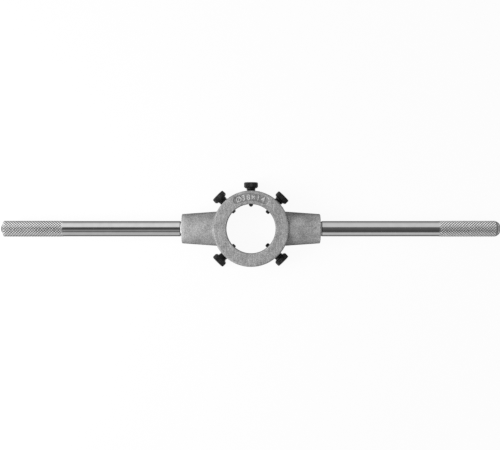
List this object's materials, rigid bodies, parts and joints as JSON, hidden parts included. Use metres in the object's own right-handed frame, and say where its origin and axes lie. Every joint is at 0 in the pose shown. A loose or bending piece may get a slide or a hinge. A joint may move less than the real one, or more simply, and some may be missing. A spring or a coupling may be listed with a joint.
{
  "type": "die stock handle",
  "caption": "Die stock: cast ring with a round die seat, two screwed-in knurled arms and radial screws that hold, open and close the die.",
  "frame": {"origin": "where the die's axis crosses the arms' common axis, half way up the ring", "axes": "+X along the right arm, +Y towards the spreading screw, +Z out of the back face, so the die seat opens along -Z"},
  "size_m": [0.325, 0.0554, 0.024],
  "materials": {
    "cast_body": "satin, fine blasted grain, silver grey",
    "chromed_arm": "polished bright plating over turned and knurled steel",
    "black_screw": "black oxide, satin"
  },
  "bodies": {
    "stock": {"stock_body": "cast_body", "left_arm": "chromed_arm", "right_arm": "chromed_arm"},
    "spreading_screw": {"spreading_screw": "black_screw"},
    "pressure_screw_left": {"pressure_screw_left": "black_screw"},
    "pressure_screw_right": {"pressure_screw_right": "black_screw"},
    "holding_screw_left": {"holding_screw_left": "black_screw"},
    "holding_screw_right": {"holding_screw_right": "black_screw"}
  },
  "joints": [
    {"name": "spreading_screw_travel", "type": "slide", "parent": "stock", "child": "spreading_screw", "axis": [0, 1, 0], "range_m": [-0.0021, 0.0047]},
    {"name": "pressure_screw_left_travel", "type": "slide", "parent": "stock", "child": "pressure_screw_left", "axis": [-0.7071, 0.7071, 0], "range_m": [-0.0028, 0.004]},
    {"name": "pressure_screw_right_travel", "type": "slide", "parent": "stock", "child": "pressure_screw_right", "axis": [0.7071, 0.7071, 0], "range_m": [-0.0022, 0.0046]},
    {"name": "holding_screw_left_travel", "type": "slide", "parent": "stock", "child": "holding_screw_left", "axis": [-0.7071, -0.7071, 0], "range_m": [-0.0027, 0.0041]},
    {"name": "holding_screw_right_travel", "type": "slide", "parent": "stock", "child": "holding_screw_right", "axis": [0.7071, -0.7071, 0], "range_m": [-0.002, 0.0048]}
  ]
}
